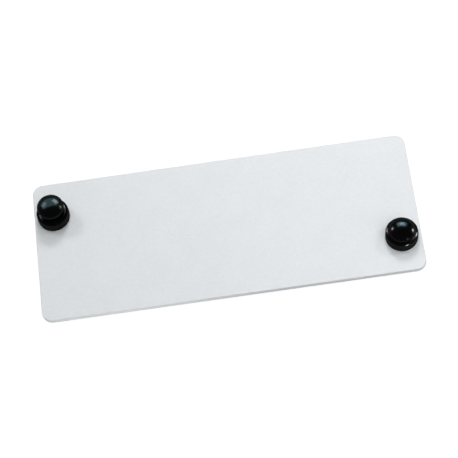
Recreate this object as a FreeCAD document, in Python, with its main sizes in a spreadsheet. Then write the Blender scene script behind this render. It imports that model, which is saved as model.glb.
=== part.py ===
"""Blank panel plate with two push-pull plunger latches.

A flat painted sheet-metal plate closes an unused opening in a rack shelf. Near two opposite corners
it carries a moulded latch: a grommet, with a collar in front of the plate and four split prongs behind
it, and a plunger with a domed head. Pushing the head in drives the plunger's swollen tip down between
the prongs, and pulling it out lets them go.

Millimetres. X is the plate's length, Y its width, and +Z points out of its front face. The origin is the
centre of the plate's back face, which seats on the shelf. The left plunger is drawn pulled out and the
right one pushed in.
"""

import FreeCAD, Part
import os

import Sketcher

# Every driving size, in millimetres
SIZES = {
    "plate_length": 130.0,
    "plate_width": 51.2,
    "plate_thickness": 2.0,
    "corner_radius": 3.6,
    "edge_break": 0.25,
    "latch_inset_x": 6.8,
    "latch_inset_y": 12.7,
    "hole_clearance": 0.1,
    "hole_relief": 0.45,
    "shank_wall": 0.8,
    "collar_diameter": 11.1,
    "collar_height": 4.2,
    "collar_round": 1.2,
    "mouth_chamfer": 0.3,
    "guide_floor": 1.1,
    "web_thickness": 1.2,
    "slot_width": 0.9,
    "slot_rise": 0.4,
    "bead_catch": 0.2,
    "bead_gap": 0.1,
    "bead_length": 0.9,
    "nose_length": 1.4,
    "nose_step": 0.7,
    "tip_recess": 0.8,
    "head_diameter": 9.1,
    "rim_height": 0.9,
    "dome_height": 2.6,
    "rim_round": 0.7,
    "lip_round": 0.3,
    "seat_gap": 0.3,
    "neck_diameter": 4.4,
    "neck_clearance": 0.1,
    "neck_end_gap": 0.2,
    "pin_diameter": 2.3,
    "pin_clearance": 0.1,
    "bulb_diameter": 3.5,
    "bulb_clearance": 0.1,
    "bulb_length": 1.6,
    "bulb_lead": 0.35,
    "tip_length": 0.8,
    "tip_diameter": 1.9,
    "travel": 2.6,
    "stop_gap": 0.1,
}

# Heights and radii that several pieces share, as formulas of the driving sizes
COLLAR_TOP = "(Sizes.plate_thickness + Sizes.collar_height)"
HEAD_SEAT = f"({COLLAR_TOP} + Sizes.seat_gap)"
GUIDE_RADIUS = "(Sizes.neck_diameter / 2 + Sizes.neck_clearance)"
SHANK_RADIUS = f"({GUIDE_RADIUS} + Sizes.shank_wall)"
HOLE_RADIUS = f"({SHANK_RADIUS} + Sizes.hole_clearance)"
WEB_BOTTOM = "(Sizes.guide_floor - Sizes.web_thickness)"
BULB_TOP = f"({WEB_BOTTOM} - Sizes.stop_gap - Sizes.travel)"
PLUNGER_TIP = f"({BULB_TOP} - Sizes.bulb_length - Sizes.tip_length)"
PRONG_TIP = f"({PLUNGER_TIP} - Sizes.tip_recess)"
PRONG_BORE = "(Sizes.bulb_diameter / 2 + Sizes.bulb_clearance)"
LATCH_X = "(Sizes.plate_length / 2 - Sizes.latch_inset_x)"
LATCH_Y = "(Sizes.plate_width / 2 - Sizes.latch_inset_y)"

SAME = 1e-4

doc = FreeCAD.newDocument("blank_panel_plate")
sheet = doc.addObject("Spreadsheet::Sheet", "Sizes")
for row, (alias, size) in enumerate(SIZES.items(), start=1):
    sheet.set(f"A{row}", alias)
    sheet.set(f"B{row}", str(size))
    sheet.setAlias(f"B{row}", alias)
doc.recompute()


def value(formula):
    """The number that a formula of the sheet's sizes gives."""
    found = sheet.evalExpression(formula)
    return float(getattr(found, "Value", found))


def origin_feature(body, role):
    """The body's own origin plane or axis of that role, such as XY_Plane."""
    return next(f for f in body.Origin.OriginFeatures if f.Role == role)


def new_body(label):
    body = doc.addObject("PartDesign::Body", label)
    body.Label = label
    return body


def new_sketch(body, name, plane):
    sketch = body.newObject("Sketcher::SketchObject", name)
    sketch.AttachmentSupport = (origin_feature(body, plane), "")
    sketch.MapMode = "FlatFace"
    return sketch


def hold(sketch, kind, geometry, vertex, formula):
    """Fixes one coordinate of a sketch point, measured from the sketch's origin, to a formula."""
    index = sketch.addConstraint(
        Sketcher.Constraint(kind, -1, 1, geometry, vertex, value(formula))
    )
    sketch.setExpression(f"Constraints[{index}]", formula)


def dome_arc(start, end):
    """The arc from start to the axis at end whose centre lies on the sketch's vertical axis."""
    rise = end.y - start.y
    radius = (start.x**2 + rise**2) / (2 * rise)
    centre = FreeCAD.Vector(0, end.y - radius, 0)
    circle = Part.Circle(centre, FreeCAD.Vector(0, 0, 1), radius)
    return Part.ArcOfCircle(circle, circle.parameter(start), circle.parameter(end))


def closed_outline(body, name, plane, corners, dome_after=None):
    """A closed sketch through corners, each a pair of formulas. The side after corner dome_after is an
    arc centred on the vertical axis."""
    sketch = new_sketch(body, name, plane)
    points = [FreeCAD.Vector(value(x), value(y), 0) for x, y in corners]
    count = len(points)
    for i, start in enumerate(points):
        end = points[(i + 1) % count]
        side = dome_arc(start, end) if i == dome_after else Part.LineSegment(start, end)
        sketch.addGeometry(side, False)
    for i in range(count):
        sketch.addConstraint(Sketcher.Constraint("Coincident", i, 2, (i + 1) % count, 1))
    for i, (x, y) in enumerate(corners):
        hold(sketch, "DistanceX", i, 1, x)
        hold(sketch, "DistanceY", i, 1, y)
    if dome_after is not None:
        sketch.addConstraint(Sketcher.Constraint("PointOnObject", dome_after, 3, -2))
    return sketch


def revolved(body, name, sketch):
    turned = body.newObject("PartDesign::Revolution", name)
    turned.Profile = sketch
    turned.ReferenceAxis = (origin_feature(body, "Z_Axis"), [""])
    turned.Angle = 360
    doc.recompute()
    return turned


def ring_edges(feature, radius, height):
    """Names of the feature's full circles about Z with that radius, at that height."""
    names = []
    for i, edge in enumerate(feature.Shape.Edges, start=1):
        if edge.Degenerated or not isinstance(edge.Curve, Part.Circle):
            continue
        curve = edge.Curve
        if abs(curve.Radius - radius) < SAME and abs(curve.Center.z - height) < SAME:
            names.append(f"Edge{i}")
    return names


def dressed(body, kind, name, base, edges, size_name, formula):
    """A PartDesign Fillet or Chamfer on those edges of base, its size bound to a formula."""
    feature = body.newObject(f"PartDesign::{kind}", name)
    feature.Base = (base, edges)
    feature.setExpression(size_name, formula)
    doc.recompute()
    return feature


def panel_plate():
    """The flat plate: a rectangle with rounded corners, two latch holes and broken edges."""
    body = new_body("panel_plate")
    half_x = "Sizes.plate_length / 2"
    half_y = "Sizes.plate_width / 2"
    rectangle = closed_outline(
        body,
        "plate_outline",
        "XY_Plane",
        [
            (f"-{half_x}", f"-{half_y}"),
            (half_x, f"-{half_y}"),
            (half_x, half_y),
            (f"-{half_x}", half_y),
        ],
    )
    pad = body.newObject("PartDesign::Pad", "plate_sheet")
    pad.Profile = rectangle
    pad.setExpression("Length", "Sizes.plate_thickness")
    doc.recompute()

    upright = [
        f"Edge{i}"
        for i, e in enumerate(pad.Shape.Edges, start=1)
        if abs(e.Vertexes[0].Z - e.Vertexes[-1].Z) > SAME
    ]
    corners = dressed(
        body, "Fillet", "plate_corners", pad, upright, "Radius", "Sizes.corner_radius"
    )

    holes = new_sketch(body, "hole_centres", "XY_Plane")
    for i, (side_x, side_y) in enumerate((("-", ""), ("", "-"))):
        centre = FreeCAD.Vector(value(side_x + LATCH_X), value(side_y + LATCH_Y), 0)
        holes.addGeometry(
            Part.Circle(centre, FreeCAD.Vector(0, 0, 1), value(HOLE_RADIUS)), False
        )
        hold(holes, "DistanceX", i, 3, side_x + LATCH_X)
        hold(holes, "DistanceY", i, 3, side_y + LATCH_Y)
        index = holes.addConstraint(Sketcher.Constraint("Radius", i, value(HOLE_RADIUS)))
        holes.setExpression(f"Constraints[{index}]", HOLE_RADIUS)
    drilled = body.newObject("PartDesign::Pocket", "latch_holes")
    drilled.Profile = holes
    drilled.Type = "ThroughAll"
    drilled.Reversed = True
    doc.recompute()
    if drilled.Shape.Volume >= corners.Shape.Volume - SAME:
        raise RuntimeError("the latch holes cut nothing")

    rim = []
    for i, edge in enumerate(drilled.Shape.Edges, start=1):
        ends = {round(v.Z, 4) for v in edge.Vertexes}
        is_hole = isinstance(edge.Curve, Part.Circle) and edge.isClosed()
        if len(ends) == 1 and not is_hole:
            rim.append(f"Edge{i}")
    broken = dressed(
        body, "Fillet", "edge_break", drilled, rim, "Radius", "Sizes.edge_break"
    )
    mouths = ring_edges(broken, value(HOLE_RADIUS), 0)
    dressed(body, "Chamfer", "hole_reliefs", broken, mouths, "Size", "Sizes.hole_relief")
    return body


def grommet(label):
    """A latch grommet: collar, guide bore, snap bead and four split prongs, turned about Z.

    The bead sits up inside the relief at the back of the plate's hole, so the plate still seats flat.
    """
    body = new_body(label)
    bead_top = "(Sizes.hole_relief + Sizes.hole_clearance - Sizes.bead_gap)"
    bead_crest = "(Sizes.hole_relief - Sizes.bead_catch - Sizes.bead_gap)"
    bead_foot = f"({bead_crest} - Sizes.bead_length)"
    bead_radius = f"({HOLE_RADIUS} + Sizes.bead_catch)"
    nose_top = f"({PRONG_TIP} + Sizes.nose_length)"
    nose_radius = f"({SHANK_RADIUS} - Sizes.nose_step)"
    pin_bore = "(Sizes.pin_diameter / 2 + Sizes.pin_clearance)"
    half_section = closed_outline(
        body,
        f"{label}_section",
        "XZ_Plane",
        [
            (GUIDE_RADIUS, COLLAR_TOP),
            (GUIDE_RADIUS, "Sizes.guide_floor"),
            (pin_bore, "Sizes.guide_floor"),
            (pin_bore, WEB_BOTTOM),
            (PRONG_BORE, WEB_BOTTOM),
            (PRONG_BORE, PRONG_TIP),
            (nose_radius, PRONG_TIP),
            (SHANK_RADIUS, nose_top),
            (SHANK_RADIUS, bead_foot),
            (bead_radius, bead_crest),
            (SHANK_RADIUS, bead_top),
            (SHANK_RADIUS, "Sizes.plate_thickness"),
            ("Sizes.collar_diameter / 2", "Sizes.plate_thickness"),
            ("Sizes.collar_diameter / 2", COLLAR_TOP),
        ],
    )
    turned = revolved(body, f"{label}_turned", half_section)

    collar_edge = ring_edges(turned, value("Sizes.collar_diameter / 2"), value(COLLAR_TOP))
    rounded = dressed(
        body, "Fillet", f"{label}_shoulder", turned, collar_edge, "Radius", "Sizes.collar_round"
    )
    mouth_edge = ring_edges(rounded, value(GUIDE_RADIUS), value(COLLAR_TOP))
    chamfered = dressed(
        body, "Chamfer", f"{label}_mouth", rounded, mouth_edge, "Size", "Sizes.mouth_chamfer"
    )

    slot = closed_outline(
        body,
        f"{label}_slot_outline",
        "XZ_Plane",
        [
            ("-Sizes.slot_width / 2", PRONG_TIP),
            ("Sizes.slot_width / 2", PRONG_TIP),
            ("Sizes.slot_width / 2", "Sizes.slot_rise"),
            ("-Sizes.slot_width / 2", "Sizes.slot_rise"),
        ],
    )
    cut = body.newObject("PartDesign::Pocket", f"{label}_slot")
    cut.Profile = slot
    cut.Midplane = True
    cut.setExpression("Length", "Sizes.collar_diameter")
    doc.recompute()
    if cut.Shape.Volume >= chamfered.Shape.Volume - SAME:
        raise RuntimeError("the prong slot cuts nothing")
    crossed = body.newObject("PartDesign::PolarPattern", f"{label}_slots")
    crossed.Originals = [cut]
    crossed.Axis = (origin_feature(body, "Z_Axis"), [""])
    crossed.Angle = 90
    crossed.Occurrences = 2
    body.Tip = crossed
    doc.recompute()
    return body


def plunger(label):
    """A latch plunger, drawn pushed in: domed head, guided neck, pin and swollen tip."""
    body = new_body(label)
    dome_foot = f"({HEAD_SEAT} + Sizes.rim_height)"
    neck_bottom = "(Sizes.guide_floor + Sizes.neck_end_gap)"
    bulb_bottom = f"({BULB_TOP} - Sizes.bulb_length)"
    half_section = closed_outline(
        body,
        f"{label}_section",
        "XZ_Plane",
        [
            ("0", PLUNGER_TIP),
            ("Sizes.tip_diameter / 2", PLUNGER_TIP),
            ("Sizes.bulb_diameter / 2", bulb_bottom),
            ("Sizes.bulb_diameter / 2", f"({BULB_TOP} - Sizes.bulb_lead)"),
            ("Sizes.pin_diameter / 2", BULB_TOP),
            ("Sizes.pin_diameter / 2", neck_bottom),
            ("Sizes.neck_diameter / 2", neck_bottom),
            ("Sizes.neck_diameter / 2", HEAD_SEAT),
            ("Sizes.head_diameter / 2", HEAD_SEAT),
            ("Sizes.head_diameter / 2", dome_foot),
            ("0", f"({dome_foot} + Sizes.dome_height)"),
        ],
        dome_after=9,
    )
    turned = revolved(body, f"{label}_turned", half_section)

    head_radius = value("Sizes.head_diameter / 2")
    rim_edge = ring_edges(turned, head_radius, value(dome_foot))
    rounded = dressed(
        body, "Fillet", f"{label}_rim", turned, rim_edge, "Radius", "Sizes.rim_round"
    )
    lip_edge = ring_edges(rounded, head_radius, value(HEAD_SEAT))
    dressed(body, "Fillet", f"{label}_lip", rounded, lip_edge, "Radius", "Sizes.lip_round")
    return body


def stand(body, x, y, z="0"):
    """Places a sub-part at formulas of the sheet's sizes."""
    for axis, formula in zip("xyz", (x, y, z)):
        body.setExpression(f"Placement.Base.{axis}", formula)


bodies = [panel_plate()]
for side, sign_x, sign_y, pulled_out in (
    ("left", "-", "", "Sizes.travel"),
    ("right", "", "-", "0"),
):
    sleeve = grommet(f"{side}_grommet")
    stand(sleeve, sign_x + LATCH_X, sign_y + LATCH_Y)
    knob = plunger(f"{side}_plunger")
    stand(knob, sign_x + LATCH_X, sign_y + LATCH_Y, pulled_out)
    bodies += [sleeve, knob]
doc.recompute()

for item in doc.Objects:
    if {"Invalid", "Error"} & set(item.State):
        raise RuntimeError(f"{item.Label} failed: {item.State}")
for body in bodies:
    if body.Shape.isNull() or not body.Shape.isValid():
        raise RuntimeError(f"{body.Label} has no valid shape")
    if len(body.Shape.Solids) != 1:
        raise RuntimeError(f"{body.Label} has {len(body.Shape.Solids)} solids and not one")

os.makedirs("parts", exist_ok=True)
for body in bodies:
    body.Shape.exportStep(f"parts/{body.Label}.step")
    box = body.Shape.BoundBox
    print(
        f"{body.Label}: {body.Shape.Volume:.2f} mm3, "
        f"x {box.XMin:.2f} to {box.XMax:.2f}, y {box.YMin:.2f} to {box.YMax:.2f}, "
        f"z {box.ZMin:.2f} to {box.ZMax:.2f}"
    )
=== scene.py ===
"""Dresses the blank panel plate: a coated sheet with a moulded push-pull latch at two opposite corners.

Every shape is drawn in millimetres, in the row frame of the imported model, and becomes metres when its mesh
is finished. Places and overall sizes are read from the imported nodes; radii, roundings and the section of
each moulding are fields of its class.
"""

import logging
import math
from dataclasses import dataclass, field
from enum import Enum

import bmesh
import bpy
from mathutils import Matrix, Vector


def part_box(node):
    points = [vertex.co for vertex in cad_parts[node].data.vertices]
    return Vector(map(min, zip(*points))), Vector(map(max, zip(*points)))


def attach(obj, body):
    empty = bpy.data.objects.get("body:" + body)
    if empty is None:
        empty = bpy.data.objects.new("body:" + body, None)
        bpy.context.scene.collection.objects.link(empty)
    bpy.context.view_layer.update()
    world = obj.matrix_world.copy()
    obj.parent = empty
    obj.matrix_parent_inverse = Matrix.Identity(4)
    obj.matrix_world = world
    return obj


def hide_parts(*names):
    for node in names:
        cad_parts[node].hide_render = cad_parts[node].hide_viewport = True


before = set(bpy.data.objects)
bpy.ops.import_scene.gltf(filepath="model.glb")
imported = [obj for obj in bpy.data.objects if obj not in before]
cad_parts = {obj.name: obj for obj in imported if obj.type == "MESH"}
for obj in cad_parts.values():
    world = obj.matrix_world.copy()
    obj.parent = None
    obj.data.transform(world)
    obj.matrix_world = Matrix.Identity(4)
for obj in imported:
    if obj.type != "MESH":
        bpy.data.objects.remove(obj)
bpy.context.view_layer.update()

log = logging.getLogger("blank_panel_plate")

MM = 0.001
FULL_TURN = 360.0
TURN_STEPS = 160
ARC_STEP = 4.0
MERGE = 1e-4
OVERCUT = 1.0
SHARP_ANGLE = 32.0
BROKEN_EDGE_ANGLE = 40.0
PLATE_NAME = "coated_plate"
FLOOR_NAME = "floor"
WHITE = (1.0, 1.0, 1.0)
HAZE = (0.74, 1.02, 1.09)
DEEP_HAZE = (0.60, 1.0, 1.13)


class Latch(Enum):
    """The two latches, by the side of the plate that they stand at."""

    LEFT = "left"
    RIGHT = "right"

    @property
    def sleeve(self) -> str:
        """The name of this latch's dressed sleeve."""
        return f"{self.value}_latch_sleeve"

    @property
    def pin(self) -> str:
        """The name of this latch's dressed pin."""
        return f"{self.value}_latch_pin"

    @property
    def grommet(self) -> str:
        """The CAD node of this latch's sleeve."""
        return f"{self.value}_grommet"

    @property
    def plunger(self) -> str:
        """The CAD node of this latch's sliding pin, which is also its body's name."""
        return f"{self.value}_plunger"


class Slot(Enum):
    """The material slots' names."""

    PLATE = "plate_coat"
    GROMMET = "grommet_nylon"
    PLUNGER = "plunger_nylon"


def node_box(node: str) -> tuple[Vector, Vector]:
    """A CAD node's lowest and highest corners.

    Args:
        node: the node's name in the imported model.

    Returns:
        The two corners, in millimetres.
    """
    low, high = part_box(node)
    return low / MM, high / MM


class ShaderSheet:
    """A material's node tree, with short calls for the nodes that the finishes share."""

    def __init__(self, name: str) -> None:
        """Starts an empty material.

        Args:
            name: the material's name.
        """
        self.material = bpy.data.materials.new(name)
        self.material.use_nodes = True
        self.tree = self.material.node_tree
        self.tree.nodes.clear()
        self.output = self.tree.nodes.new("ShaderNodeOutputMaterial")
        self.shader = self.tree.nodes.new("ShaderNodeBsdfPrincipled")
        self.tree.links.new(self.shader.outputs["BSDF"], self.output.inputs["Surface"])
        self.place = self.tree.nodes.new("ShaderNodeTexCoord").outputs["Object"]

    def stretched(self, stretch: tuple[float, float, float]) -> bpy.types.NodeSocket:
        """Object coordinates multiplied along each axis.

        Args:
            stretch: the factors along X, Y and Z.

        Returns:
            The vector socket.
        """
        mapping = self.tree.nodes.new("ShaderNodeMapping")
        mapping.inputs["Scale"].default_value = stretch
        self.tree.links.new(self.place, mapping.inputs["Vector"])
        return mapping.outputs["Vector"]

    def noise(
        self,
        grain: float,
        detail: float = 3.0,
        rough: float = 0.55,
        where: bpy.types.NodeSocket | None = None,
    ) -> bpy.types.NodeSocket:
        """A noise pattern.

        Args:
            grain: the size of one blotch, in millimetres.
            detail: octaves of finer noise.
            rough: how strong each finer octave is.
            where: the coordinates it reads, Object coordinates if left out.

        Returns:
            The factor socket, about 0.5 on average.
        """
        node = self.tree.nodes.new("ShaderNodeTexNoise")
        node.inputs["Scale"].default_value = 1.0 / (grain * MM)
        node.inputs["Detail"].default_value = detail
        node.inputs["Roughness"].default_value = rough
        self.tree.links.new(where or self.place, node.inputs["Vector"])
        return node.outputs["Fac"]

    def ranged(
        self, factor: bpy.types.NodeSocket, low: float, high: float, tight: float = 0.25
    ) -> bpy.types.NodeSocket:
        """Maps the middle of a noise factor onto a range of values.

        Args:
            factor: the noise, about 0.5 on average.
            low: the value at the noise's dark end.
            high: the value at its bright end.
            tight: how far from 0.5 the noise is taken to reach.

        Returns:
            The value socket.
        """
        node = self.tree.nodes.new("ShaderNodeMapRange")
        node.inputs["From Min"].default_value = 0.5 - tight
        node.inputs["From Max"].default_value = 0.5 + tight
        node.inputs["To Min"].default_value = low
        node.inputs["To Max"].default_value = high
        self.tree.links.new(factor, node.inputs["Value"])
        return node.outputs["Result"]

    def blended(
        self, first: bpy.types.NodeSocket, second: bpy.types.NodeSocket, share: float
    ) -> bpy.types.NodeSocket:
        """A weighted mean of two patterns.

        Args:
            first: one pattern.
            second: the other.
            share: the second one's weight, from 0 to 1.

        Returns:
            The value socket.
        """
        node = self.tree.nodes.new("ShaderNodeMix")
        node.inputs["Factor"].default_value = share
        self.tree.links.new(first, node.inputs["A"])
        self.tree.links.new(second, node.inputs["B"])
        return node.outputs["Result"]

    def mixed(
        self,
        factor: bpy.types.NodeSocket,
        first: tuple[float, float, float],
        second: tuple[float, float, float],
    ) -> bpy.types.NodeSocket:
        """A colour between two others.

        Args:
            factor: 0 gives the first colour and 1 the second.
            first: linear RGB.
            second: linear RGB.

        Returns:
            The colour socket.
        """
        node = self.tree.nodes.new("ShaderNodeMix")
        node.data_type = "RGBA"
        node.inputs["A"].default_value = (*first, 1.0)
        node.inputs["B"].default_value = (*second, 1.0)
        self.tree.links.new(factor, node.inputs["Factor"])
        return node.outputs["Result"]

    def bumped(
        self,
        height: bpy.types.NodeSocket,
        depth: float,
        under: bpy.types.NodeSocket | None = None,
    ) -> bpy.types.NodeSocket:
        """A normal that follows a height pattern.

        Args:
            height: the pattern.
            depth: the pattern's full height, in millimetres.
            under: a normal that this one adds to.

        Returns:
            The normal socket.
        """
        node = self.tree.nodes.new("ShaderNodeBump")
        node.inputs["Strength"].default_value = 1.0
        node.inputs["Distance"].default_value = depth * MM
        self.tree.links.new(height, node.inputs["Height"])
        if under is not None:
            self.tree.links.new(under, node.inputs["Normal"])
        return node.outputs["Normal"]

    def feed(self, name: str, socket: bpy.types.NodeSocket) -> None:
        """Links a socket to one of the shader's inputs, by the input's name."""
        self.tree.links.new(socket, self.shader.inputs[name])


@dataclass(frozen=True)
class PowderCoat:
    """The plate's baked light grey coat: faint blotches and lengthwise streaks under a fine skin."""

    light: tuple[float, float, float] = (0.775, 0.805, 0.822)
    shade: tuple[float, float, float] = (0.705, 0.735, 0.750)
    blotch_grain: float = 9.0
    mottle_grain: float = 0.9
    mottle_share: float = 0.6
    streak_grain: float = 1.6
    streak_length: float = 0.03
    streak_share: float = 0.2
    skin_grain: float = 0.42
    skin_depth: float = 0.006
    ripple_grain: float = 2.4
    ripple_depth: float = 0.012
    gloss_low: float = 0.36
    gloss_high: float = 0.47
    tone_reach: float = 0.2
    index: float = 1.48

    def material(self) -> bpy.types.Material:
        """Builds the coat's material.

        Returns:
            The material.
        """
        sheet = ShaderSheet("light_grey_coat")
        along = sheet.stretched((self.streak_length, 1.0, 1.0))
        streaks = sheet.noise(self.streak_grain, detail=4.0, where=along)
        blotches = sheet.noise(self.blotch_grain, detail=5.0)
        mottle = sheet.noise(self.mottle_grain, detail=3.0, rough=0.7)
        clouds = sheet.blended(blotches, streaks, self.streak_share)
        tone = sheet.ranged(
            sheet.blended(clouds, mottle, self.mottle_share), 0.0, 1.0, self.tone_reach
        )
        sheet.feed("Base Color", sheet.mixed(tone, self.shade, self.light))
        skin = sheet.noise(self.skin_grain, detail=2.0)
        ripple = sheet.noise(self.ripple_grain, detail=2.0)
        sheet.feed(
            "Normal",
            sheet.bumped(
                skin, self.skin_depth, under=sheet.bumped(ripple, self.ripple_depth)
            ),
        )
        sheet.feed("Roughness", sheet.ranged(ripple, self.gloss_low, self.gloss_high))
        sheet.shader.inputs["IOR"].default_value = self.index
        return sheet.material


@dataclass(frozen=True)
class BlackNylon:
    """Moulded black nylon: a dull body under a thin glossy skin, with a faint flow texture."""

    name: str
    dark: tuple[float, float, float] = (0.0034, 0.0036, 0.0036)
    pale: tuple[float, float, float] = (0.0060, 0.0063, 0.0063)
    flow_grain: float = 3.0
    flow_depth: float = 0.003
    grain: float = 0.22
    grain_depth: float = 0.0003
    skin_weight: float = 0.08
    skin_index: float = 2.0
    skin_roughness: float = 0.2
    dull_low: float = 0.45
    dull_high: float = 0.6

    def material(self) -> bpy.types.Material:
        """Builds the nylon's material.

        Returns:
            The material.
        """
        sheet = ShaderSheet(self.name)
        flow = sheet.noise(self.flow_grain, detail=3.0)
        grain = sheet.noise(self.grain, detail=3.0)
        tone = sheet.ranged(flow, 0.0, 1.0)
        sheet.feed("Base Color", sheet.mixed(tone, self.dark, self.pale))
        sheet.feed("Roughness", sheet.ranged(grain, self.dull_low, self.dull_high))
        surface = sheet.bumped(
            grain, self.grain_depth, under=sheet.bumped(flow, self.flow_depth)
        )
        sheet.feed("Normal", surface)
        sheet.feed("Coat Normal", surface)
        sheet.shader.inputs["Specular IOR Level"].default_value = 0.0
        sheet.shader.inputs["Coat Weight"].default_value = self.skin_weight
        sheet.shader.inputs["Coat IOR"].default_value = self.skin_index
        sheet.shader.inputs["Coat Roughness"].default_value = self.skin_roughness
        return sheet.material


class Turning:
    """A half section drawn as a wire in the XZ plane and spun about Z into a closed solid."""

    def __init__(self, radius: float, height: float) -> None:
        """Sets the pen down.

        Args:
            radius: distance from the axis, in millimetres.
            height: height along the axis, in millimetres.
        """
        self.mesh = bmesh.new()
        self.start = self.mesh.verts.new((radius, 0.0, height))
        self.tip = self.start

    def line(self, radius: float, height: float) -> "Turning":
        """Draws a straight side from the pen's place.

        Args:
            radius: the side's end, as a distance from the axis.
            height: the side's end, as a height.

        Returns:
            The same turning, so that calls can be chained.
        """
        grown = bmesh.ops.extrude_vert_indiv(self.mesh, verts=[self.tip])
        self.tip = grown["verts"][0]
        self.tip.co = (radius, 0.0, height)
        return self

    def arc(self, radius: float, height: float, degrees: float) -> "Turning":
        """Draws an arc from the pen's place.

        Args:
            radius: the arc's centre, as a distance from the axis.
            height: the arc's centre, as a height.
            degrees: how far it turns; positive turns from up towards outward.

        Returns:
            The same turning, so that calls can be chained.
        """
        swept = bmesh.ops.spin(
            self.mesh,
            geom=[self.tip],
            cent=(radius, 0.0, height),
            axis=(0.0, 1.0, 0.0),
            angle=math.radians(degrees),
            steps=max(2, math.ceil(abs(degrees) / ARC_STEP)),
        )
        self.tip = next(
            v for v in swept["geom_last"] if isinstance(v, bmesh.types.BMVert)
        )
        return self

    def close(self) -> "Turning":
        """Joins the pen's place to where it was first set down."""
        self.mesh.edges.new((self.tip, self.start))
        return self

    def spin(self) -> bmesh.types.BMesh:
        """Turns the section once about Z.

        Returns:
            The closed solid, its faces pointing outwards.
        """
        bmesh.ops.spin(
            self.mesh,
            geom=self.mesh.verts[:] + self.mesh.edges[:],
            cent=(0.0, 0.0, 0.0),
            axis=(0.0, 0.0, 1.0),
            angle=math.radians(FULL_TURN),
            steps=TURN_STEPS,
            use_merge=True,
        )
        bmesh.ops.remove_doubles(self.mesh, verts=self.mesh.verts[:], dist=MERGE)
        bmesh.ops.recalc_face_normals(self.mesh, faces=self.mesh.faces[:])
        return self.mesh


def finished(name: str, mesh: bmesh.types.BMesh, place: Vector) -> bpy.types.Object:
    """Makes an object of a mesh drawn in millimetres, with its place in its mesh.

    Args:
        name: the piece's name.
        mesh: the mesh, which is freed.
        place: where its own origin goes in the row frame, in millimetres.

    Returns:
        The object, at the origin and in metres, smooth but for its sharp edges.
    """
    bmesh.ops.translate(mesh, verts=mesh.verts[:], vec=place)
    bmesh.ops.scale(mesh, verts=mesh.verts[:], vec=(MM, MM, MM))
    for face in mesh.faces:
        face.smooth = True
    data = bpy.data.meshes.new(name)
    mesh.to_mesh(data)
    mesh.free()
    data.set_sharp_from_angle(angle=math.radians(SHARP_ANGLE))
    piece = bpy.data.objects.new(name, data)
    bpy.context.scene.collection.objects.link(piece)
    return piece


def cut(piece: bpy.types.Object, cutter: bpy.types.Object) -> None:
    """Takes one object's volume out of another and deletes the cutter.

    Args:
        piece: the object that is cut, whose mesh is replaced by the result.
        cutter: the object whose volume is taken out.
    """
    difference = piece.modifiers.new("cut", "BOOLEAN")
    difference.operation = "DIFFERENCE"
    difference.solver = "EXACT"
    difference.object = cutter
    graph = bpy.context.evaluated_depsgraph_get()
    result = bpy.data.meshes.new_from_object(piece.evaluated_get(graph))
    piece.modifiers.clear()
    piece.data = result
    bpy.data.objects.remove(cutter)


def eased(piece: bpy.types.Object, width: float, segments: int) -> None:
    """Breaks a piece's sharp edges with a small round bevel and keeps its flats flat.

    Args:
        piece: the object.
        width: the bevel's width, in millimetres.
        segments: how many faces the bevel has across it.
    """
    bevel = piece.modifiers.new("broken_edges", "BEVEL")
    bevel.width = width * MM
    bevel.segments = segments
    bevel.limit_method = "ANGLE"
    bevel.angle_limit = math.radians(BROKEN_EDGE_ANGLE)
    bevel.use_clamp_overlap = True
    bevel.harden_normals = True


def dressed(
    piece: bpy.types.Object, finish: bpy.types.Material, body: str, node: str
) -> None:
    """Gives a piece its finish and ties it to the frame.

    Args:
        piece: the object.
        finish: its material.
        body: the CAD body that it rides on.
        node: the CAD node that it stands for.
    """
    piece.data.materials.clear()
    piece.data.materials.append(finish)
    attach(piece, body)
    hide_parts(node)
    log.info("%s: %d faces, stands for %s", piece.name, len(piece.data.polygons), node)


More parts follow.
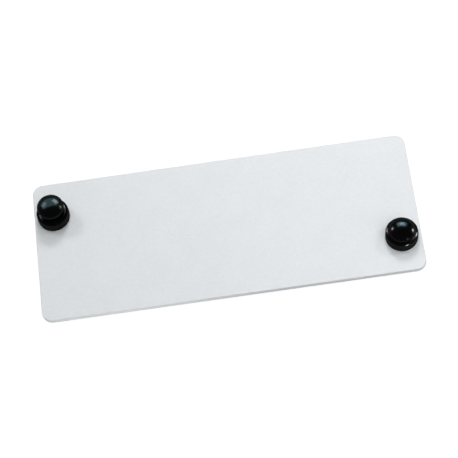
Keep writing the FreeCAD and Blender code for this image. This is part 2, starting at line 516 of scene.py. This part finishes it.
@dataclass
class PanelPlate:
    """The coated sheet: rounded corners, broken edges and two latch holes relieved at the back."""

    finish: bpy.types.Material
    corner_radius: float = 3.6
    edge_break: float = 0.25
    hole_radius: float = 3.2
    hole_relief: float = 0.45
    corner_facets: int = 20
    edge_facets: int = 5
    node: str = "panel_plate"
    body: str = "panel"

    def blank(self) -> bmesh.types.BMesh:
        """The sheet before its holes, at the node's place.

        Returns:
            The closed mesh, with its corners rounded and its edges broken.
        """
        low, high = node_box(self.node)
        size = high - low
        mesh = bmesh.new()
        bmesh.ops.create_cube(mesh, size=1.0)
        bmesh.ops.scale(mesh, verts=mesh.verts[:], vec=size)
        upright = [e for e in mesh.edges if abs(e.verts[0].co.z - e.verts[1].co.z) > MERGE]
        bmesh.ops.bevel(
            mesh,
            geom=upright,
            offset=self.corner_radius,
            offset_type="OFFSET",
            affect="EDGES",
            segments=self.corner_facets,
            profile=0.5,
            material=-1,
        )
        flats = [f for f in mesh.faces if abs(f.normal.z) > 0.5]
        rims = {e for f in flats for e in f.edges}
        bmesh.ops.bevel(
            mesh,
            geom=list(rims),
            offset=self.edge_break,
            offset_type="OFFSET",
            affect="EDGES",
            segments=self.edge_facets,
            profile=0.5,
            material=-1,
        )
        bmesh.ops.translate(mesh, verts=mesh.verts[:], vec=(low + high) / 2)
        return mesh

    def drill(self, latch: Latch) -> bpy.types.Object:
        """The tool that cuts a latch's hole, with the flare that relieves its back edge.

        Args:
            latch: the latch that sits in the hole.

        Returns:
            The cutter, a little longer than the sheet is thick.
        """
        low, high = node_box(self.node)
        grommet_low, grommet_high = node_box(latch.grommet)
        axis = (grommet_low + grommet_high) / 2
        flared = self.hole_radius + self.hole_relief + OVERCUT
        tool = Turning(0.0, low.z - OVERCUT)
        tool.line(flared, low.z - OVERCUT)
        tool.line(self.hole_radius, low.z + self.hole_relief)
        tool.line(self.hole_radius, high.z + OVERCUT)
        tool.line(0.0, high.z + OVERCUT)
        return finished(f"{latch.value}_drill", tool.spin(), Vector((axis.x, axis.y, 0.0)))

    def build(self) -> bpy.types.Object:
        """Makes the plate and ties it to the frame.

        Returns:
            The plate.
        """
        piece = finished(PLATE_NAME, self.blank(), Vector())
        for latch in Latch:
            cut(piece, self.drill(latch))
        for face in piece.data.polygons:
            face.use_smooth = True
        piece.data.set_sharp_from_angle(angle=math.radians(SHARP_ANGLE))
        flats = piece.modifiers.new("flat_faces_stay_flat", "WEIGHTED_NORMAL")
        flats.keep_sharp = True
        dressed(piece, self.finish, self.body, self.node)
        return piece


@dataclass
class Grommet:
    """A latch's sleeve: rounded collar, guide bore, snap bead and four split prongs."""

    latch: Latch
    finish: bpy.types.Material
    collar_round: float = 1.2
    mouth_chamfer: float = 0.3
    guide_radius: float = 2.3
    guide_floor: float = 1.1
    web_bottom: float = -0.1
    pin_bore: float = 1.25
    prong_bore: float = 1.85
    shank_radius: float = 3.1
    bead_radius: float = 3.4
    bead_top: float = 0.45
    bead_crest: float = 0.15
    bead_foot: float = -0.75
    nose_length: float = 1.4
    nose_step: float = 0.7
    slot_width: float = 0.9
    slot_top: float = 0.4
    foot_round: float = 0.12
    edge_break: float = 0.05
    edge_facets: int = 2
    body: str = "panel"

    def section(self) -> Turning:
        """The sleeve's half section, around its own axis.

        Returns:
            The closed outline, ready to spin.
        """
        low, high = node_box(self.latch.grommet)
        collar_radius = (high.x - low.x) / 2
        top, tip = high.z, low.z
        seat = node_box("panel_plate")[1].z
        pen = Turning(self.guide_radius, top - self.mouth_chamfer)
        pen.line(self.guide_radius, self.guide_floor)
        pen.line(self.pin_bore, self.guide_floor)
        pen.line(self.pin_bore, self.web_bottom)
        pen.line(self.prong_bore, self.web_bottom)
        pen.line(self.prong_bore, tip)
        pen.line(self.shank_radius - self.nose_step, tip)
        pen.line(self.shank_radius, tip + self.nose_length)
        pen.line(self.shank_radius, self.bead_foot)
        pen.line(self.bead_radius, self.bead_crest)
        pen.line(self.shank_radius, self.bead_top)
        pen.line(self.shank_radius, seat)
        pen.line(collar_radius - self.foot_round, seat)
        pen.arc(collar_radius - self.foot_round, seat + self.foot_round, -90.0)
        pen.line(collar_radius, top - self.collar_round)
        pen.arc(collar_radius - self.collar_round, top - self.collar_round, -90.0)
        pen.line(self.guide_radius + self.mouth_chamfer, top)
        return pen.close()

    def saw(self, across: bool, place: Vector) -> bpy.types.Object:
        """The blade that cuts one slot between the prongs.

        Args:
            across: False cuts along X and True along Y.
            place: the latch's axis, in millimetres.

        Returns:
            The cutter.
        """
        low = node_box(self.latch.grommet)[0]
        reach = 4.0 * self.shank_radius
        height = self.slot_top - low.z + OVERCUT
        mesh = bmesh.new()
        bmesh.ops.create_cube(mesh, size=1.0)
        bmesh.ops.scale(mesh, verts=mesh.verts[:], vec=(reach, self.slot_width, height))
        if across:
            turn = Matrix.Rotation(math.radians(90.0), 3, "Z")
            bmesh.ops.rotate(mesh, verts=mesh.verts[:], cent=(0, 0, 0), matrix=turn)
        lift = Vector((0.0, 0.0, self.slot_top - height / 2))
        return finished("slot_saw", mesh, place + lift)

    def build(self) -> bpy.types.Object:
        """Makes the sleeve and ties it to the frame.

        Returns:
            The sleeve.
        """
        low, high = node_box(self.latch.grommet)
        axis = (low + high) / 2
        place = Vector((axis.x, axis.y, 0.0))
        piece = finished(self.latch.sleeve, self.section().spin(), place)
        for across in (False, True):
            cut(piece, self.saw(across, place))
        eased(piece, self.edge_break, self.edge_facets)
        dressed(piece, self.finish, self.body, self.latch.grommet)
        return piece


@dataclass
class Plunger:
    """A latch's sliding pin: domed head, guided neck, thin pin and swollen tip."""

    latch: Latch
    finish: bpy.types.Material
    dome_height: float = 2.6
    rim_height: float = 0.9
    rim_round: float = 0.7
    lip_round: float = 0.3
    neck_radius: float = 2.2
    neck_length: float = 5.2
    pin_radius: float = 1.15
    bulb_radius: float = 1.75
    bulb_lead: float = 0.35
    bulb_length: float = 1.6
    tip_length: float = 0.8
    tip_radius: float = 0.95
    neck_round: float = 0.15

    def section(self) -> Turning:
        """The pin's half section, around its own axis, at its own height.

        Returns:
            The outline from the tip's centre to the dome's crown, ready to spin.
        """
        low, high = node_box(self.latch.plunger)
        head = (high.x - low.x) / 2
        tip = low.z
        seat = high.z - self.dome_height - self.rim_height
        dome_radius = (head**2 + self.dome_height**2) / (2 * self.dome_height)
        dome_centre = high.z - dome_radius
        round_centre = head - self.rim_round
        reach = dome_radius - self.rim_round
        round_height = dome_centre + math.sqrt(reach**2 - round_centre**2)
        lean = math.degrees(math.atan2(round_centre, round_height - dome_centre))
        neck_end = seat - self.neck_length
        bulb_top = tip + self.tip_length + self.bulb_length
        pen = Turning(0.0, tip)
        pen.line(self.tip_radius, tip)
        pen.line(self.bulb_radius, tip + self.tip_length)
        pen.line(self.bulb_radius, bulb_top - self.bulb_lead)
        pen.line(self.pin_radius, bulb_top)
        pen.line(self.pin_radius, neck_end)
        pen.line(self.neck_radius - self.neck_round, neck_end)
        pen.arc(self.neck_radius - self.neck_round, neck_end + self.neck_round, -90.0)
        pen.line(self.neck_radius, seat)
        pen.line(head - self.lip_round, seat)
        pen.arc(head - self.lip_round, seat + self.lip_round, -90.0)
        pen.line(head, round_height)
        pen.arc(round_centre, round_height, lean - 90.0)
        pen.arc(0.0, dome_centre, -lean)
        return pen

    def build(self) -> bpy.types.Object:
        """Makes the pin and ties it to its own body.

        Returns:
            The pin.
        """
        low, high = node_box(self.latch.plunger)
        axis = (low + high) / 2
        place = Vector((axis.x, axis.y, 0.0))
        piece = finished(self.latch.pin, self.section().spin(), place)
        dressed(piece, self.finish, self.latch.plunger, self.latch.plunger)
        return piece


@dataclass(frozen=True)
class SoftLight:
    """A rectangular lamp that shines on one point."""

    name: str
    place: tuple[float, float, float]
    width: float
    height: float
    brightness: float
    aim: tuple[float, float, float] = (0.0, 0.0, 0.0)
    tint: tuple[float, float, float] = WHITE

    def power(self) -> float:
        """The lamp's power, in watts, for its face to look as bright as it says."""
        area = self.width * self.height * MM**2
        return self.brightness * math.pi * area

    def build(self) -> bpy.types.Object:
        """Makes the lamp, which the camera doesn't see.

        Returns:
            The lamp.
        """
        lamp = bpy.data.lights.new(self.name, "AREA")
        lamp.shape = "RECTANGLE"
        lamp.size = self.width * MM
        lamp.size_y = self.height * MM
        lamp.energy = self.power()
        lamp.color = self.tint
        holder = bpy.data.objects.new(self.name, lamp)
        bpy.context.scene.collection.objects.link(holder)
        holder.location = Vector(self.place) * MM
        aim = Vector(self.aim) * MM
        holder.rotation_euler = (aim - holder.location).to_track_quat("-Z", "Y").to_euler()
        holder.visible_camera = False
        return holder


@dataclass(frozen=True)
class Viewpoint:
    """The camera, placed by where it aims, its distance, its direction and its roll."""

    aim: tuple[float, float, float] = (0.91, -0.17, 0.0)
    distance: float = 566.7
    azimuth: float = 2.50
    elevation: float = 64.45
    roll: float = -10.34
    lens: float = 130.5
    sensor: float = 36.0
    nearest: float = 0.01
    furthest: float = 20.0

    def build(self) -> bpy.types.Object:
        """Makes the camera and makes it the scene's.

        Returns:
            The camera.
        """
        data = bpy.data.cameras.new("camera")
        data.lens = self.lens
        data.sensor_width = self.sensor
        data.clip_start = self.nearest
        data.clip_end = self.furthest
        camera = bpy.data.objects.new("camera", data)
        bpy.context.scene.collection.objects.link(camera)
        around, above = math.radians(self.azimuth), math.radians(self.elevation)
        back = Vector(
            (
                math.sin(around) * math.cos(above),
                -math.cos(around) * math.cos(above),
                math.sin(above),
            )
        )
        camera.location = (Vector(self.aim) + back * self.distance) * MM
        upright = (-back).to_track_quat("-Z", "Y").to_matrix()
        rolled = upright @ Matrix.Rotation(math.radians(self.roll), 3, "Z")
        camera.rotation_euler = rolled.to_euler()
        bpy.context.scene.camera = camera
        return camera


def shine_only_on(lamp: bpy.types.Object, names: list[str]) -> None:
    """Limits a lamp's light to some of the pieces.

    Args:
        lamp: the lamp.
        names: the pieces that it lights.
    """
    lit = bpy.data.collections.new(f"lit_by_{lamp.name}")
    for name in names:
        lit.objects.link(bpy.data.objects[name])
    lamp.light_linking.receiver_collection = lit


@dataclass(frozen=True)
class GlossCard:
    """A lit card that shows only in one moulding's gloss, placed by its direction from the latch."""

    azimuth: float
    elevation: float
    width: float
    height: float
    brightness: float
    tint: tuple[float, float, float] = WHITE
    distance: float = 400.0
    below_crown: float = 2.0

    def build(self, name: str, latch: Latch, moulding: str) -> None:
        """Makes the card.

        Args:
            name: its name.
            latch: the latch that it stands round.
            moulding: the one piece that mirrors it.
        """
        low, high = node_box(latch.plunger)
        axis = (low + high) / 2
        centre = Vector((axis.x, axis.y, high.z - self.below_crown))
        around, above = math.radians(self.azimuth), math.radians(self.elevation)
        way = Vector(
            (
                math.cos(around) * math.cos(above),
                math.sin(around) * math.cos(above),
                math.sin(above),
            )
        )
        card = SoftLight(
            name,
            tuple(centre + way * self.distance),
            2 * self.distance * math.tan(math.radians(self.width) / 2),
            2 * self.distance * math.tan(math.radians(self.height) / 2),
            self.brightness,
            tuple(centre),
            tint=self.tint,
        ).build()
        card.visible_diffuse = False
        shine_only_on(card, [moulding])


@dataclass
class Studio:
    """The pale floor under the prongs' tips, the room's light, the lamps, the cards and the camera."""

    floor_reach: float = 4000.0
    floor_tone: tuple[float, float, float] = (0.86, 0.86, 0.86)
    floor_roughness: float = 0.9
    floor_glow: float = 1.15
    floor_veil: float = 0.85
    ambient: float = 0.22
    mirrored_room: float = 0.08
    lamps: list[SoftLight] = field(
        default_factory=lambda: [
            SoftLight("top_box", (20.0, 60.0, 520.0), 420.0, 420.0, 1.52),
            SoftLight("back_box", (60.0, 445.0, 536.0), 180.0, 120.0, 21.0),
            SoftLight("right_lamp", (248.0, 52.0, 225.0), 55.0, 55.0, 13.5, (58.0, -13.0, 8.0)),
            SoftLight("left_lamp", (-206.0, 137.0, 232.0), 55.0, 55.0, 16.0, (-58.0, 13.0, 8.0)),
            SoftLight("front_box", (125.0, -95.0, 130.0), 120.0, 120.0, 1.5, (58.0, -13.0, 0.0)),
            SoftLight("front_card", (-42.0, -70.0, 3.0), 60.0, 14.0, 2.8, (-42.0, -26.0, 1.0)),
        ]
    )
    cards: dict[Latch, tuple[list[GlossCard], list[GlossCard]]] = field(
        default_factory=lambda: {
            Latch.LEFT: (
                [
                    GlossCard(100.0, 52.0, 110.0, 70.0, 5.0, DEEP_HAZE),
                    GlossCard(51.0, 33.0, 34.0, 26.0, 22.0, HAZE),
                    GlossCard(148.0, 41.0, 30.0, 26.0, 11.0, HAZE),
                    GlossCard(6.0, 11.0, 14.0, 14.0, 19.0, HAZE),
                ],
                [
                    GlossCard(74.0, 55.0, 14.0, 8.0, 62.0),
                    GlossCard(114.0, 62.5, 18.0, 7.0, 22.0),
                ],
            ),
            Latch.RIGHT: (
                [
                    GlossCard(82.0, 44.0, 56.0, 36.0, 10.0, DEEP_HAZE),
                    GlossCard(80.0, 43.0, 26.0, 18.0, 26.0, DEEP_HAZE),
                    GlossCard(152.0, 17.0, 10.0, 10.0, 58.0),
                    GlossCard(4.0, 4.0, 12.0, 9.0, 85.0),
                    GlossCard(-62.0, 8.0, 7.0, 7.0, 12.0),
                ],
                [
                    GlossCard(140.0, 24.0, 10.0, 36.0, 48.0),
                    GlossCard(5.0, 22.0, 12.0, 34.0, 75.0),
                    GlossCard(15.0, 60.0, 26.0, 10.0, 12.0),
                    GlossCard(-70.0, 11.0, 8.0, 22.0, 90.0),
                ],
            ),
        }
    )

    def floor(self) -> bpy.types.Object:
        """The floor: pale to everything, and close to white where the camera looks at it.

        Returns:
            The floor.
        """
        lowest = min(node_box(latch.grommet)[0].z for latch in Latch)
        mesh = bmesh.new()
        bmesh.ops.create_grid(mesh, x_segments=1, y_segments=1, size=self.floor_reach)
        piece = finished(FLOOR_NAME, mesh, Vector((0.0, 0.0, lowest)))
        sheet = ShaderSheet("pale_floor")
        sheet.shader.inputs["Base Color"].default_value = (*self.floor_tone, 1.0)
        sheet.shader.inputs["Roughness"].default_value = self.floor_roughness
        sheet.shader.inputs["Specular IOR Level"].default_value = 0.0
        nodes, links = sheet.tree.nodes, sheet.tree.links
        glow = nodes.new("ShaderNodeEmission")
        glow.inputs["Strength"].default_value = self.floor_glow
        path = nodes.new("ShaderNodeLightPath")
        veil = nodes.new("ShaderNodeMath")
        veil.operation = "MULTIPLY"
        veil.inputs[1].default_value = self.floor_veil
        links.new(path.outputs["Is Camera Ray"], veil.inputs[0])
        seen = nodes.new("ShaderNodeMixShader")
        links.new(veil.outputs["Value"], seen.inputs["Fac"])
        links.new(sheet.shader.outputs["BSDF"], seen.inputs[1])
        links.new(glow.outputs["Emission"], seen.inputs[2])
        links.new(seen.outputs["Shader"], sheet.output.inputs["Surface"])
        piece.data.materials.append(sheet.material)
        return piece

    def surroundings(self) -> bpy.types.World:
        """A dim room that the camera sees as plain white.

        Returns:
            The world.
        """
        world = bpy.data.worlds.new("room")
        world.use_nodes = True
        tree = world.node_tree
        tree.nodes.clear()
        output = tree.nodes.new("ShaderNodeOutputWorld")
        backdrop = tree.nodes.new("ShaderNodeBackground")
        path = tree.nodes.new("ShaderNodeLightPath")
        mirrored = tree.nodes.new("ShaderNodeMapRange")
        mirrored.inputs["To Min"].default_value = self.ambient
        mirrored.inputs["To Max"].default_value = self.mirrored_room
        tree.links.new(path.outputs["Is Glossy Ray"], mirrored.inputs["Value"])
        seen = tree.nodes.new("ShaderNodeMapRange")
        seen.inputs["To Max"].default_value = 1.0
        tree.links.new(path.outputs["Is Camera Ray"], seen.inputs["Value"])
        tree.links.new(mirrored.outputs["Result"], seen.inputs["To Min"])
        tree.links.new(seen.outputs["Result"], backdrop.inputs["Strength"])
        backdrop.inputs["Color"].default_value = (*WHITE, 1.0)
        tree.links.new(backdrop.outputs["Background"], output.inputs["Surface"])
        bpy.context.scene.world = world
        return world

    def build(self) -> None:
        """Sets the room, the floor, the lamps and the camera."""
        self.surroundings()
        self.floor()
        for lamp in self.lamps:
            shine_only_on(lamp.build(), [PLATE_NAME, FLOOR_NAME])
        for latch, card_sets in self.cards.items():
            for moulding, cards in zip((latch.pin, latch.sleeve), card_sets):
                for number, card in enumerate(cards):
                    card.build(f"{moulding}_card_{number}", latch, moulding)
        Viewpoint().build()
        bpy.context.scene.view_settings.view_transform = "Standard"


def main() -> None:
    """Builds the plate and both latches, then the studio round them."""
    logging.basicConfig(level=logging.INFO, format="%(name)s: %(message)s")
    coat = PowderCoat().material()
    sleeve_nylon = BlackNylon("black_nylon_sleeve").material()
    pin_nylon = BlackNylon("black_nylon_pin").material()
    PanelPlate(coat).build()
    for latch in Latch:
        Grommet(latch, sleeve_nylon).build()
        Plunger(latch, pin_nylon).build()
    Studio().build()


if __name__ == "__main__":
    main()
